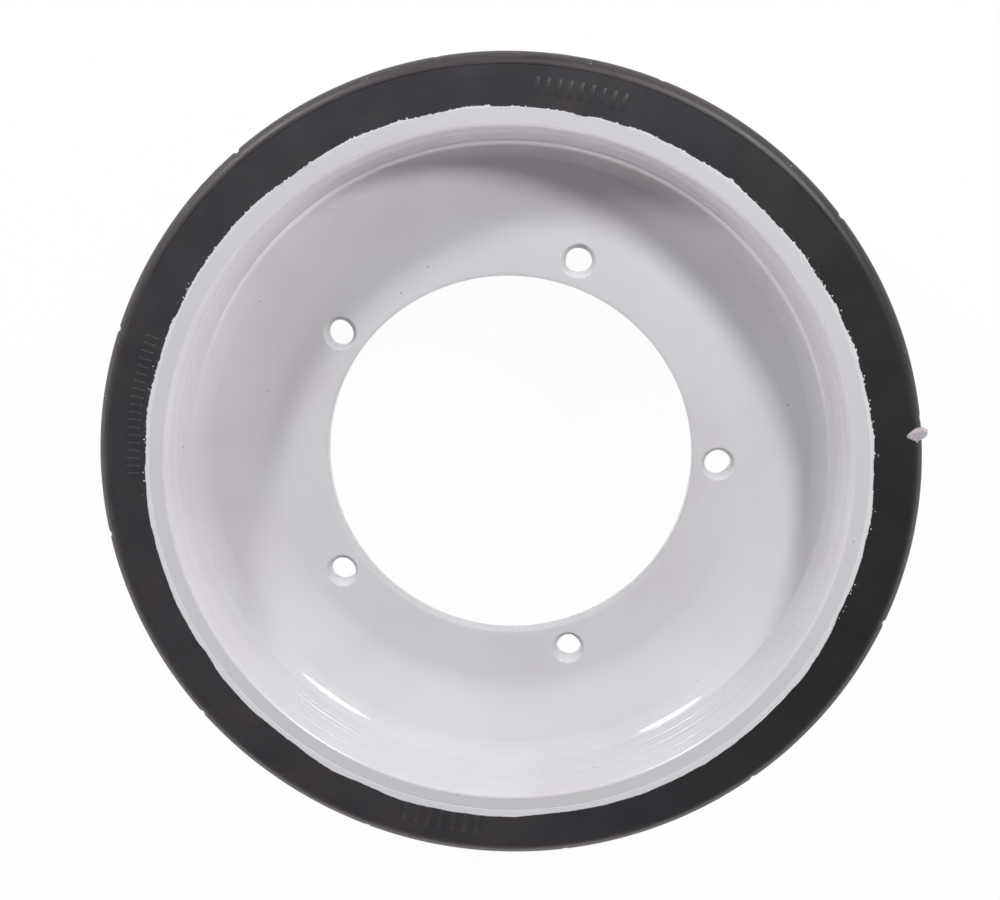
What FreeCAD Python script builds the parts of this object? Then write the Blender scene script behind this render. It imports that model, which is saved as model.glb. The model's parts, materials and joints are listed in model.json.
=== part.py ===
import FreeCAD, Part
import os
import Sketcher

# Wheel of an access platform: a white cast wheel with a solid rubber tyre moulded onto it.
# Z runs along the axle and points to the outer, dished side. The origin is the centre of the
# bore in the wheel's mounting face, the face that seats on the hub.

# Driving dimensions, in millimetres and degrees
DRIVING = {
    # tyre
    "tyre_dia": 406.0,
    "tyre_width": 125.0,
    "rubber_depth": 26.2,
    "shoulder_radius": 6.1,
    "notch_count": 12,
    "notch_start": 8.4,
    "notch_width": 3.8,
    "notch_floor": 1.4,
    "notch_depth": 1.1,
    # wheel casting
    "rim_width": 7.6,
    "lip_edge": 1.0,
    "dish_depth": 44.5,
    "front_draft": 11.8,
    "wall_depth": 28.8,
    "corner_radius": 26.0,
    "corner_start": 44.5,
    "corner_end": 67.5,
    "floor_margin": 12.3,
    "disc_thickness": 9.5,
    "bore_margin": 13.5,
    "bore_edge": 0.5,
    "pad_margin": 22.3,
    "pad_rise": 1.5,
    "rear_wall": 8.0,
    "rear_draft": 6.0,
    "rear_corner": 9.0,
    "rear_edge": 1.0,
    # bolt holes with tapered nut seats
    "bolt_count": 5,
    "bolt_start": 70.5,
    "bolt_margin": 68.1,
    "bolt_hole_dia": 13.8,
    "nut_seat_dia": 16.9,
    "nut_seat_angle": 60.0,
    # lump of set paint on the tyre's shoulder
    "dab_angle": 6.4,
    "dab_length": 11.0,
    "dab_width": 5.8,
    "dab_end_radius": 2.6,
    "dab_shoulder": 4.2,
    "dab_height": 8.4,
    "dab_edge": 0.9,
    "dab_stand": 2.3,
    "dab_drop": 3.0,
}

# Sizes that follow from the driving ones
DERIVED = {
    "tread_radius": "tyre_dia / 2",
    "seat_radius": "tread_radius - rubber_depth",
    "bolt_circle_radius": "seat_radius - bolt_margin",
    "bore_radius": "bolt_circle_radius - bore_margin",
    "pad_radius": "bolt_circle_radius + pad_margin",
    "front_height": "dish_depth + disc_thickness",
    "rear_height": "front_height - tyre_width",
    "lip_radius": "seat_radius - rim_width",
    "wall_foot": "lip_radius - wall_depth * tan(front_draft * 1 deg)",
    "wall_height": "front_height - wall_depth",
    "corner_radius_at": "wall_foot - corner_radius * cos(corner_start * 1 deg)",
    "corner_height_at": "wall_height + corner_radius * sin(corner_start * 1 deg)",
    "corner_foot": "corner_radius_at + corner_radius * cos(corner_end * 1 deg)",
    "corner_foot_height": "corner_height_at - corner_radius * sin(corner_end * 1 deg)",
    "floor_radius": "bolt_circle_radius + floor_margin",
    "rear_lip_radius": "seat_radius - rear_wall",
    "rear_foot": "rear_lip_radius + (rear_height - pad_rise) * tan(rear_draft * 1 deg)",
    "line_radius": "tread_radius - shoulder_radius",
    "shoulder_height": "front_height - shoulder_radius",
    "rear_shoulder_height": "rear_height + shoulder_radius",
    "notch_slope": "(notch_width - notch_floor) / 2 / notch_depth",
    "dab_tip": "tread_radius + dab_stand - dab_length",
    "dab_end": "tread_radius + dab_stand - dab_end_radius",
}

FULL_TURN = 360
MATCH = 0.01  # how near an edge has to lie to the circle that it is looked up by
ABOVE = 1.0  # how far a cutting outline reaches out of the surface that it cuts
NEARLY_ONE = 0.999  # a face normal with this much along the axle is square to it
SHOULDER_STEPS = (0, 22.5, 45, 67.5, 90)  # degrees round a shoulder at which it has a corner


def fill_sheet():
    """Write one row for each size: its name in words, then its value under that alias."""
    rows = [(name, str(value)) for name, value in DRIVING.items()]
    rows += [(name, "=" + formula) for name, formula in DERIVED.items()]
    for row, (name, content) in enumerate(rows, start=1):
        sheet.set(f"A{row}", name.replace("_", " "))
        sheet.set(f"B{row}", content)
        sheet.setAlias(f"B{row}", name)
    doc.recompute()


def value_of(formula):
    """The number that a formula gives with the sheet's present sizes."""
    return float(sheet.evalExpression(formula))


def new_body(label):
    body = doc.addObject("PartDesign::Body", label)
    body.Label = label
    return body


def origin_plane(body, role):
    return next(item for item in body.Origin.OriginFeatures if item.Role == role)


def new_sketch(body, name, role, height="0"):
    """Empty sketch on one of the body's own origin planes, raised by a formula."""
    sketch = body.newObject("Sketcher::SketchObject", name)
    sketch.AttachmentSupport = [(origin_plane(body, role), "")]
    sketch.MapMode = "FlatFace"
    sketch.setExpression(".AttachmentOffset.Base.z", height)
    return sketch


def hold_point(sketch, item, end, name, x, y):
    """Tie one point of a sketch to two formulas, measured from the sketch's origin."""
    for kind, formula in (("DistanceX", x), ("DistanceY", y)):
        place = sketch.addConstraint(Sketcher.Constraint(kind, -1, 1, item, end, value_of(formula)))
        sketch.renameConstraint(place, f"{name}_{kind[-1].lower()}")
        sketch.setExpression(f"Constraints[{place}]", formula)


def draw_outline(sketch, corners, rounds=None):
    """Closed outline through named corners.

    rounds names the corners from which the outline goes on as an arc, each with the formulas of
    the arc's centre and radius. A sketch counts the ends of an arc anticlockwise, so the end
    that an item starts from is looked up."""
    rounds = rounds or {}
    first_ends = []
    names = list(corners)
    spots = [FreeCAD.Vector(value_of(x), value_of(y), 0) for x, y in corners.values()]
    for place, name in enumerate(names):
        start = spots[place]
        end = spots[(place + 1) % len(spots)]
        if name in rounds:
            centre_x, centre_y, radius = rounds[name]
            centre = FreeCAD.Vector(value_of(centre_x), value_of(centre_y), 0)
            first = (start - centre).normalize()
            middle = first + (end - centre).normalize()
            through = centre + middle.normalize() * value_of(radius)
            sketch.addGeometry(Part.Arc(start, through, end), False)
        else:
            sketch.addGeometry(Part.LineSegment(start, end), False)
        first_ends.append(1 if sketch.getPoint(place, 1).distanceToPoint(start) < MATCH else 2)
    for place, first in enumerate(first_ends):
        following = (place + 1) % len(names)
        last = 3 - first
        sketch.addConstraint(
            Sketcher.Constraint("Coincident", place, last, following, first_ends[following])
        )
    for place, (name, (x, y)) in enumerate(corners.items()):
        hold_point(sketch, place, first_ends[place], name, x, y)
        if name in rounds:
            radius = rounds[name][2]
            bend = sketch.addConstraint(Sketcher.Constraint("Radius", place, value_of(radius)))
            sketch.setExpression(f"Constraints[{bend}]", radius)


def draw_circle(sketch, name, x, y, radius):
    centre = FreeCAD.Vector(value_of(x), value_of(y), 0)
    axis = FreeCAD.Vector(0, 0, 1)
    item = sketch.addGeometry(Part.Circle(centre, axis, value_of(radius)), False)
    hold_point(sketch, item, 3, name, x, y)
    size = sketch.addConstraint(Sketcher.Constraint("Radius", item, value_of(radius)))
    sketch.setExpression(f"Constraints[{size}]", radius)


def turn_outline(body, kind, name, sketch):
    """Turn an outline right round the axle, to add material or to cut a ring."""
    feature = body.newObject(kind, name)
    feature.Profile = sketch
    feature.ReferenceAxis = (sketch, ["V_Axis"])
    feature.Angle = FULL_TURN
    return feature


def ring_edges(feature, rings):
    """Names of the feature's circular edges that lie on the rings, given as (radius, height)."""
    wanted = [(value_of(radius), value_of(height)) for radius, height in rings]
    found = []
    for place, edge in enumerate(feature.Shape.Edges, start=1):
        if not isinstance(edge.Curve, Part.Circle):
            continue
        radius = edge.Curve.Radius
        height = edge.Curve.Center.z
        if any(abs(radius - r) < MATCH and abs(height - z) < MATCH for r, z in wanted):
            found.append(f"Edge{place}")
    if not found:
        raise RuntimeError(f"{feature.Name} has no edge on {rings}")
    return found


def dress_edges(body, kind, name, rings, size):
    """Fillet or chamfer the body's edges on the named rings."""
    doc.recompute()
    base = body.Tip
    feature = body.newObject(kind, name)
    feature.Base = (base, ring_edges(base, rings))
    measure = "Radius" if kind.endswith("Fillet") else "Size"
    feature.setExpression(measure, size)
    return feature


def repeat_round(body, name, original, count):
    """Copy a feature evenly round the axle."""
    pattern = body.newObject("PartDesign::PolarPattern", name)
    pattern.Originals = [original]
    pattern.Axis = (original.Profile[0], ["N_Axis"])
    pattern.Angle = FULL_TURN
    pattern.setExpression("Occurrences", count)
    body.Tip = pattern
    return pattern


def on_circle(radius, angle):
    """Formulas of the point at an angle on a circle round the axle."""
    return f"{radius} * cos({angle} * 1 deg)", f"{radius} * sin({angle} * 1 deg)"


def beside_ray(radius, across, angle):
    """Formulas of a point out along a ray from the axle, and then a step to the ray's left."""
    along_x, along_y = on_circle(f"({radius})", angle)
    step_y, step_x = on_circle(f"({across})", angle)
    return f"{along_x} - {step_x}", f"{along_y} + {step_y}"


def make_wheel():
    """Casting: barrel with a turned rim, drafted dish, disc with a bore and bolt holes."""
    body = new_body("wheel")
    section = new_sketch(body, "wheel_section", "XZ_Plane")
    draw_outline(
        section,
        {
            "bore_rear": ("Sizes.bore_radius", "0"),
            "pad_edge": ("Sizes.pad_radius", "0"),
            "pad_root": ("Sizes.pad_radius", "Sizes.pad_rise"),
            "rear_foot": ("Sizes.rear_foot", "Sizes.pad_rise"),
            "rear_lip": ("Sizes.rear_lip_radius", "Sizes.rear_height"),
            "rear_seat": ("Sizes.seat_radius", "Sizes.rear_height"),
            "front_seat": ("Sizes.seat_radius", "Sizes.front_height"),
            "front_lip": ("Sizes.lip_radius", "Sizes.front_height"),
            "wall_foot": ("Sizes.wall_foot", "Sizes.wall_height"),
            "corner_foot": ("Sizes.corner_foot", "Sizes.corner_foot_height"),
            "floor_edge": ("Sizes.floor_radius", "Sizes.disc_thickness"),
            "bore_front": ("Sizes.bore_radius", "Sizes.disc_thickness"),
        },
        {"wall_foot": ("Sizes.corner_radius_at", "Sizes.corner_height_at", "Sizes.corner_radius")},
    )
    turn_outline(body, "PartDesign::Revolution", "wheel_casting", section)
    dress_edges(
        body,
        "PartDesign::Chamfer",
        "lip_edge",
        [("Sizes.lip_radius", "Sizes.front_height")],
        "Sizes.lip_edge",
    )
    dress_edges(
        body,
        "PartDesign::Chamfer",
        "rear_corner",
        [("Sizes.rear_foot", "Sizes.pad_rise")],
        "Sizes.rear_corner",
    )
    dress_edges(
        body,
        "PartDesign::Chamfer",
        "bore_edges",
        [("Sizes.bore_radius", "0"), ("Sizes.bore_radius", "Sizes.disc_thickness")],
        "Sizes.bore_edge",
    )
    dress_edges(
        body,
        "PartDesign::Chamfer",
        "rear_lip_edge",
        [("Sizes.rear_lip_radius", "Sizes.rear_height")],
        "Sizes.rear_edge",
    )
    drill_bolt_holes(body)
    return body


def drill_bolt_holes(body):
    """Through holes on the bolt circle, each with the tapered seat of a wheel nut."""
    layout = new_sketch(body, "bolt_layout", "XY_Plane", "Sizes.disc_thickness")
    x, y = on_circle("Sizes.bolt_circle_radius", "Sizes.bolt_start")
    draw_circle(layout, "first_bolt", x, y, "Sizes.bolt_hole_dia / 2")
    doc.recompute()
    before = body.Shape.Volume
    hole = body.newObject("PartDesign::Hole", "bolt_hole")
    hole.Profile = layout
    hole.DepthType = "ThroughAll"
    hole.setExpression("Diameter", "Sizes.bolt_hole_dia")
    hole.HoleCutType = "Countersink"
    hole.HoleCutCustomValues = True
    hole.setExpression("HoleCutDiameter", "Sizes.nut_seat_dia")
    hole.setExpression("HoleCutCountersinkAngle", "Sizes.nut_seat_angle")
    doc.recompute()
    check_cut(body, hole, before)
    repeat_round(body, "bolt_holes", hole, "Sizes.bolt_count")


def round_shoulder(side, height, outward):
    """Corners of a shoulder, equal steps of a quarter circle, from sidewall to tread."""
    corners = {}
    for turn in SHOULDER_STEPS:
        reach = f"Sizes.shoulder_radius * sin({turn} * 1 deg)"
        rise = f"{outward} * Sizes.shoulder_radius * cos({turn} * 1 deg)"
        corners[f"{side}_shoulder_{turn}"] = (
            f"Sizes.line_radius + {reach}",
            f"{height} + {rise}",
        )
    return corners


def make_tyre():
    """Solid rubber ring: flat sidewalls, rounded shoulders and notches across the tread."""
    body = new_body("tyre")
    section = new_sketch(body, "tyre_section", "XZ_Plane")
    front = round_shoulder("front", "Sizes.shoulder_height", 1)
    rear = round_shoulder("rear", "Sizes.rear_shoulder_height", -1)
    corners = {"rear_seat": ("Sizes.seat_radius", "Sizes.rear_height")}
    corners.update(rear)
    corners.update(reversed(front.items()))
    corners["front_seat"] = ("Sizes.seat_radius", "Sizes.front_height")
    draw_outline(section, corners)
    turn_outline(body, "PartDesign::Revolution", "tyre_ring", section)
    cut_notches(body)
    return body


def cut_notches(body):
    """Shallow notches with sloped sides that run across the tread, evenly round the tyre."""
    doc.recompute()
    before = body.Shape.Volume
    layout = new_sketch(body, "notch_layout", "XY_Plane")
    floor = "Sizes.tread_radius - Sizes.notch_depth"
    mouth = f"Sizes.tread_radius + {ABOVE}"
    half_floor = "Sizes.notch_floor / 2"
    half_mouth = f"(Sizes.notch_width / 2 + {ABOVE} * Sizes.notch_slope)"
    start = "Sizes.notch_start"
    draw_outline(
        layout,
        {
            "floor_right": beside_ray(floor, f"0 - {half_floor}", start),
            "mouth_right": beside_ray(mouth, f"0 - {half_mouth}", start),
            "mouth_left": beside_ray(mouth, half_mouth, start),
            "floor_left": beside_ray(floor, half_floor, start),
        },
    )
    notch = body.newObject("PartDesign::Pocket", "notch")
    notch.Profile = layout
    notch.SideType = "Symmetric"
    notch.Type = "ThroughAll"
    doc.recompute()
    check_cut(body, notch, before)
    repeat_round(body, "notches", notch, "Sizes.notch_count")


def make_paint_dab(tyre):
    """Lump of set paint: pointed inside, round outside, seated on the tyre's shoulder."""
    body = new_body("dab_lump")
    outline = new_sketch(
        body,
        "dab_outline",
        "XY_Plane",
        "Sizes.front_height - Sizes.dab_drop - Sizes.dab_height / 2",
    )
    angle = "Sizes.dab_angle"
    end = "Sizes.dab_end_radius"
    centre = on_circle("Sizes.dab_end", angle)
    broad = "Sizes.dab_tip + Sizes.dab_shoulder"
    draw_outline(
        outline,
        {
            "tip": on_circle("Sizes.dab_tip", angle),
            "broad_right": beside_ray(broad, "0 - Sizes.dab_width / 2", angle),
            "end_right": beside_ray("Sizes.dab_end", f"0 - {end}", angle),
            "end": on_circle(f"(Sizes.dab_end + {end})", angle),
            "end_left": beside_ray("Sizes.dab_end", end, angle),
            "broad_left": beside_ray(broad, "Sizes.dab_width / 2", angle),
        },
        {"end_right": (*centre, end), "end": (*centre, end)},
    )
    lump = body.newObject("PartDesign::Pad", "dab_pad")
    lump.Profile = outline
    lump.setExpression("Length", "Sizes.dab_height")
    doc.recompute()
    edges = body.newObject("PartDesign::Chamfer", "dab_edges")
    edges.Base = (lump, flat_faces(lump))
    edges.setExpression("Size", "Sizes.dab_edge")
    dab = doc.addObject("Part::Cut", "paint_dab")
    dab.Label = "paint_dab"
    dab.Base = body
    dab.Tool = tyre
    return dab


def flat_faces(feature):
    """Names of the feature's faces that lie square to the axle."""
    found = []
    for place, face in enumerate(feature.Shape.Faces, start=1):
        if isinstance(face.Surface, Part.Plane) and abs(face.normalAt(0, 0).z) > NEARLY_ONE:
            found.append(f"Face{place}")
    return found


def check_cut(body, feature, before):
    """A cut that points away from the solid removes nothing and reports no error."""
    if feature.Shape.isNull() or feature.Shape.Volume >= before:
        raise RuntimeError(f"{feature.Name} cuts nothing from {body.Label}")


def check_document():
    """Stop on any object that the recompute left failed."""
    for item in doc.Objects:
        if "Invalid" in item.State or "Error" in item.State:
            raise RuntimeError(f"{item.Name} failed: {item.State}")


def write_parts(parts):
    """Write each sub-part to a file that is named for it."""
    for part in parts:
        if part.Shape.isNull() or not part.Shape.isValid():
            raise RuntimeError(f"{part.Label} has no valid shape")
    os.makedirs("parts", exist_ok=True)
    for part in parts:
        part.Shape.exportStep(f"parts/{part.Label}.step")
        box = part.Shape.BoundBox
        print(f"{part.Label}: {len(part.Shape.Solids)} solid, {part.Shape.Volume / 1000:.1f} cm3")
        print(f"  x {box.XMin:.1f} to {box.XMax:.1f}, z {box.ZMin:.1f} to {box.ZMax:.1f} mm")


doc = FreeCAD.newDocument("platform_wheel")
sheet = doc.addObject("Spreadsheet::Sheet", "Sizes")
fill_sheet()
wheel = make_wheel()
tyre = make_tyre()
paint_dab = make_paint_dab(tyre)
doc.recompute()
check_document()
write_parts([wheel, tyre, paint_dab])
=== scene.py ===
import json
import math

import bmesh
import bpy
from mathutils import Matrix, Vector, noise


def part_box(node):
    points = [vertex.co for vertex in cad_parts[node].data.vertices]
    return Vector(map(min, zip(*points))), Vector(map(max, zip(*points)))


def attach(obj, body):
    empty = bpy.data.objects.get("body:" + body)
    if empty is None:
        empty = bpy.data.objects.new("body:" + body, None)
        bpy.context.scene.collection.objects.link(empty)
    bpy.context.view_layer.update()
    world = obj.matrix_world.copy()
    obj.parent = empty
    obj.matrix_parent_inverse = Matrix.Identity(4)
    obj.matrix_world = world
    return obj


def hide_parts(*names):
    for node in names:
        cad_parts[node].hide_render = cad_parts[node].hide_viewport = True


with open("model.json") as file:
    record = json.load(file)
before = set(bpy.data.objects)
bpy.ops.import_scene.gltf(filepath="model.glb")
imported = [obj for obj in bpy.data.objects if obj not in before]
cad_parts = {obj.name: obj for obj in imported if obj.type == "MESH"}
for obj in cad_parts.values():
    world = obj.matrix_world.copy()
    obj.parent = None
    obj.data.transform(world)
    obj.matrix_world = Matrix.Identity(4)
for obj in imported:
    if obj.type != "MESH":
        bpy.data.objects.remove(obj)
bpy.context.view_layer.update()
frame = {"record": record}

bl_info = {
    "name": "Platform Wheel",
    "version": (1, 0, 0),
    "blender": (4, 5, 0),
    "location": "View3D > Sidebar > Platform Wheel",
    "description": "Dresses a white cast wheel with a solid rubber tyre",
    "category": "Add Mesh",
}

# Z runs up the axle to the dished side. Radii and heights are in millimetres until a mesh is
# made of them, and angles run anticlockwise from +X as the dished side is seen.
MM = 0.001
MOUNTS = {mount["name"]: mount for mount in frame["record"]["mounts"]}
TYRE_BOX = [[value / MM for value in corner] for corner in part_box("tyre")]
WHEEL_BOX = [[value / MM for value in corner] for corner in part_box("wheel")]
DAB_BOX = [[value / MM for value in corner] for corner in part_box("paint_dab")]
TREAD_RADIUS = TYRE_BOX[1][0]
SEAT_RADIUS = WHEEL_BOX[1][0]
FRONT = TYRE_BOX[1][2]
REAR = TYRE_BOX[0][2]
BORE_RADIUS = MOUNTS["centre_bore"]["dims"]["r_mm"]
BOLT_CIRCLE = MOUNTS["bolt_circle"]["dims"]["pcd_mm"] / 2
BOLT_RADIUS = MOUNTS["bolt_circle"]["dims"]["hole_r_mm"]
BOLT_COUNT = MOUNTS["bolt_circle"]["dims"]["count"]

MATH = "ShaderNodeMath"
VECTOR = "ShaderNodeVectorMath"
RANGE = "ShaderNodeMapRange"
MIX = "ShaderNodeMix"
NOISE = "ShaderNodeTexNoise"
# Numbers of a Mix node's two colour sockets, and of its two sockets for plain values
COLOUR_A, COLOUR_B = 6, 7
VALUE_A, VALUE_B = 2, 3

# How fine the meshes are: steps round the wheel and a bolt hole, steps along the arcs of the lip,
# the corners and the shoulder, and the distance between two rings on each face
WHEEL_STEPS = 384
HOLE_STEPS = 48
LIP_STEPS = 12
CORNER_STEPS = 16
SHOULDER_STEPS = 18
RIM_SPACING = 0.2
WALL_SPACING = 0.5
BOWL_SPACING = 0.9
SIDEWALL_SPACING = 1.6
TREAD_SPACING = 8
# Angles beside a notch, each way from its middle, and the degrees between two of them
NOTCH_STEPS = 9
NOTCH_SPACING = 0.13

# The hairline between rim and rubber
SEAM_WIDTH = 0.15
SEAM_DEPTH = 0.12
# Distance between two turned rings on the rim's face
TURNING_PITCH = 1.3
# Distance over which a ripple or a ledge of the wall fades
WALL_FADE = 2
# Share of the straight slope with which the bowl leaves the hollow
BOWL_LEAN = 0.82
# Most that enamel has built up inside a bolt hole, and the levels it lies between
COAT_DEPTH = 0.8
COAT_LEVELS = (0.5, 8)
# Small ledges that the tool left in the wall: depth below the front, slope in degrees, and width
LEDGES = (
    (8.0, 39, 0.1),
    (16.1, 39, 0.15),
    (19.6, 34, 0.17),
    (22.6, 39, 0.17),
)
# How deep each notch was cut, from the first one round, as a share of the full depth
NOTCH_SHARES = (0.3, 0.55, 0.25, 0.2, 0.95, 0.7, 0.75, 0.65, 0.3, 0.3, 0.6, 0.7)
# Distance from the parting line within which a ring belongs to it
LINE_REACH = 0.05
# Rows of plain bars on the sidewall: first and last angle in degrees, inner and outer radius, width
# of a bar, and number of bars
BAR_ROWS = (
    (72.3, 84.8, 183.4, 191.6, 1.5, 9),
    (157.5, 179.2, 181.8, 187.8, 1.1, 19),
    (253.2, 264.8, 181.2, 190.6, 1.7, 7),
)
# Sections of a bar, from inside the rubber to its top: how far they stand out past its sides, and
# their height as a share of its rise
BAR_SECTIONS = ((0.22, -0.75), (0.22, 0.0), (0.1, 0.75), (-0.05, 1.0))
# Where a vent stub sits on the shoulder, up from straight outwards, and the place round the wheel
# and the radius of its two lumps
VENT_LEAN = math.radians(52)
VENT_LUMPS = ((-0.9, 0.75), (0.8, 0.6))
# The lump of paint: half its length, width and height, and how far it stays inside its CAD box
DAB_REACH = (5.2, 3.1, 3.9)
DAB_GAP = 0.02
# The photograph's view: where the camera stands, in millimetres, its direction, and what is up
CAMERA_PLACE = (33.2, 164.2, 716.3)
CAMERA_FORWARD = (-0.0520, -0.2199, -0.9741)
CAMERA_UP = (0, 0.9755, -0.2202)
FOCAL_LENGTH = 50.08
# Width and height of a lamp, and its distance from the wheel, in metres
LAMP_SIZE = (0.52, 0.29)
LAMP_DISTANCE = 2.4
# Half the width of the floor in metres, so large that its edge stays near the horizon
FLOOR_REACH = 30


def length(name, description, default):
    """A length in metres, from its default in millimetres."""
    return bpy.props.FloatProperty(
        name=name, description=description, default=default * MM, unit="LENGTH", precision=5
    )


def turn(name, description, default):
    """An angle, from its default in degrees."""
    return bpy.props.FloatProperty(
        name=name, description=description, default=math.radians(default), unit="ROTATION"
    )


def linear(code):
    """Linear red, green and blue of an sRGB hex value such as #d9d7db."""
    levels = [int(code[place : place + 2], 16) / 255 for place in (1, 3, 5)]
    return tuple(v / 12.92 if v <= 0.04045 else ((v + 0.055) / 1.055) ** 2.4 for v in levels)


def paint(name, description, default):
    """A colour that is written as an sRGB hex value."""
    return bpy.props.FloatVectorProperty(
        name=name, description=description, default=linear(default), size=3, subtype="COLOR"
    )


class WheelSizes(bpy.types.PropertyGroup):
    lip_radius: length("Lip radius", "Inner radius of the rim's flat front face", 169.2)
    lip_roll: length("Lip roll", "Radius that the lip is rolled to", 1.7)
    wall_depth: length("Wall depth", "From the front face to the foot of the wall", 28.8)
    corner_radius: length("Corner radius", "Radius of the hollow under the wall", 26.0)
    hollow_radius: length("Hollow radius", "Radius at which the slope begins", 154.6)
    hollow_height: length("Hollow height", "Height at which the slope begins", 19.4)
    disc_height: length("Disc height", "Height of the disc's front face", 9.5)
    floor_radius: length("Floor radius", "Where the dish meets the flat of the disc", 121.0)
    ripple: length("Ripple", "Height of the tool's slow ripple down the wall", 0.035)
    ripple_pitch: length("Ripple pitch", "Distance between two ripples", 7.5)
    turning: length("Turning", "Height of the fine rings on the rim's face", 0.02)
    seat_radius: length("Nut seat radius", "Radius of a nut seat at the disc's face", 8.45)
    rear_wall: length("Rear wall", "Thickness of the barrel at its rear edge", 8.0)
    rear_corner: length("Rear corner", "Radius in the corner of the recess on the back", 16.0)
    pad_radius: length("Pad radius", "Radius of the turned pad on the back", 131.0)
    pad_rise: length("Pad rise", "How far the pad stands up from the back", 1.5)


class WheelAngles(bpy.types.PropertyGroup):
    front_draft: turn("Front draft", "Draft of the dish wall", 11.8)
    corner_start: turn("Corner start", "Where the hollow leaves the wall", 44.5)
    corner_end: turn("Corner end", "Where the hollow turns straight", 61.0)
    rear_draft: turn("Rear draft", "Draft of the recess on the back", 6.0)
    bolt_start: turn("First bolt", "Angle of the first bolt hole", 70.5)
    notch_start: turn("First notch", "Angle of the first notch", 8.4)
    dab_angle: turn("Dab", "Angle of the lump of paint", 6.4)


class TyreSizes(bpy.types.PropertyGroup):
    shoulder: length("Shoulder", "Radius of the shoulder", 6.1)
    line_depth: length("Line depth", "Depth of the mould's parting line", 0.28)
    notch_depth: length("Notch depth", "Depth of the notches across the tread", 1.0)
    notch_width: length("Notch width", "Width of a notch at the tread", 3.8)
    mark_rise: length("Mark rise", "How far the plain moulded bars stand up", 0.4)


class FinishColours(bpy.types.PropertyGroup):
    enamel: paint("Enamel", "White enamel of the wheel", "#dadadf")
    enamel_stained: paint("Stained enamel", "Enamel with a faint warm stain", "#d3d1d6")
    enamel_rim_tone: paint("Rim enamel", "Slightly darker enamel of the rim's face", "#cacacd")
    grime: paint("Grime", "Dark specks in the enamel", "#7d777b")
    rubber: paint("Rubber", "Black moulded rubber", "#302f34")
    # Painted shade: the darker rubber that is put round the right side of the tyre
    rubber_right_shade: paint("Right side shade", "Darker rubber painted on the right side as shade", "#1b1a1c")
    rubber_dusty: paint("Dusty rubber", "Rubber under a film of dust", "#38363b")
    rubber_worn: paint("Worn rubber", "Brownish rubber of the shoulder", "#4c4344")
    dab: paint("Paint dab", "Skinned lump of enamel", "#b9b1b9")
    vent: paint("Vent mark", "Torn grey rubber of a vent mark", "#8f8b8d")
    floor: paint("Floor", "Floor under the wheel", "#f4f4f4")


def sizes(group):
    """The lengths of a property group in millimetres."""
    return {name: getattr(group, name) / MM for name in group.__annotations__}


def angles_of(group):
    """The angles of a property group in radians."""
    return {name: getattr(group, name) for name in group.__annotations__}


def add_node(tree, kind, inputs=None, **settings):
    """One shader node with its settings. Each input is set to a value, or linked to a socket or
    to the output that another node has in use."""
    node = tree.nodes.new(kind)
    for name, value in settings.items():
        setattr(node, name, value)
    for socket, value in (inputs or {}).items():
        if isinstance(value, bpy.types.Node):
            value = next(output for output in value.outputs if output.enabled)
        if isinstance(value, bpy.types.NodeSocket):
            tree.links.new(value, node.inputs[socket])
        else:
            node.inputs[socket].default_value = value
    return node


def new_material(name):
    """A material whose node tree is empty."""
    material = bpy.data.materials.new(name)
    material.use_nodes = True
    material.node_tree.nodes.clear()
    return material


def finish_object(name, mesh, material, *nodes, slot):
    """Put a mesh in the scene on the one body, for the CAD nodes that it stands for."""
    item = bpy.data.objects.new(name, mesh)
    bpy.context.scene.collection.objects.link(item)
    mesh.materials.append(material)
    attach(item, "root")
    if nodes:
        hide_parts(*nodes)
    return item


def arc(centre_r, centre_z, radius, start, end, steps):
    """Points round an arc, angles in radians from straight outwards, up being positive."""
    turns = [start + (end - start) * k / steps for k in range(steps + 1)]
    return [(centre_r + radius * math.cos(t), centre_z + radius * math.sin(t)) for t in turns]


def spaced(start, end, step):
    """Points along a straight line between two (radius, height) points, without the last."""
    count = max(1, round(math.dist(start, end) / step))
    return [tuple(a + (b - a) * k / count for a, b in zip(start, end)) for k in range(count)]


def eased(start, end, slope, step):
    """Curve that leaves start with a slope and reaches end level, for the bowl of the dish."""
    width = start[0] - end[0]
    count = max(2, round(width / step))
    points = []
    for k in range(count):
        t = k / count
        keep = 2 * t**3 - 3 * t**2 + 1
        lean = t**3 - 2 * t**2 + t
        points.append(
            (start[0] - width * t, keep * start[1] - lean * slope * width + (1 - keep) * end[1])
        )
    return points


def turned_strip(bm, profile, angles, shift=None):
    """Rings of vertices round the axle, one for each profile point, joined by quads."""
    rings = []
    for radius, height in profile:
        ring = []
        for angle in angles:
            r, z = shift(radius, height, angle) if shift else (radius, height)
            x, y = r * MM * math.cos(angle), r * MM * math.sin(angle)
            ring.append(bm.verts.new((x, y, z * MM)))
        rings.append(ring)
    for low, high in zip(rings, rings[1:]):
        join_rings(bm, low, high)
    return rings


def join_rings(bm, low, high):
    """A band of quads between two rings of as many vertices."""
    for k in range(len(low)):
        following = (k + 1) % len(low)
        bm.faces.new((low[k], low[following], high[following], high[k]))


def hole_ring(bm, x, y, radius, height):
    """Ring of vertices round a bolt hole, a little out of round where enamel has built up."""
    low, high = COAT_LEVELS
    most = COAT_DEPTH if low < height < high else 0
    ring = []
    for t in even_angles(HOLE_STEPS):
        # The noise is read on a circle so small that the coat swells only once or twice round
        place = Vector((x + 0.8 * math.cos(t), y + 0.8 * math.sin(t), 0.5))
        r = radius - most * max(0.0, 0.5 + 0.8 * noise.noise(place))
        across, along = x + r * math.cos(t), y + r * math.sin(t)
        ring.append(bm.verts.new((across * MM, along * MM, height * MM)))
    return ring


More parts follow.
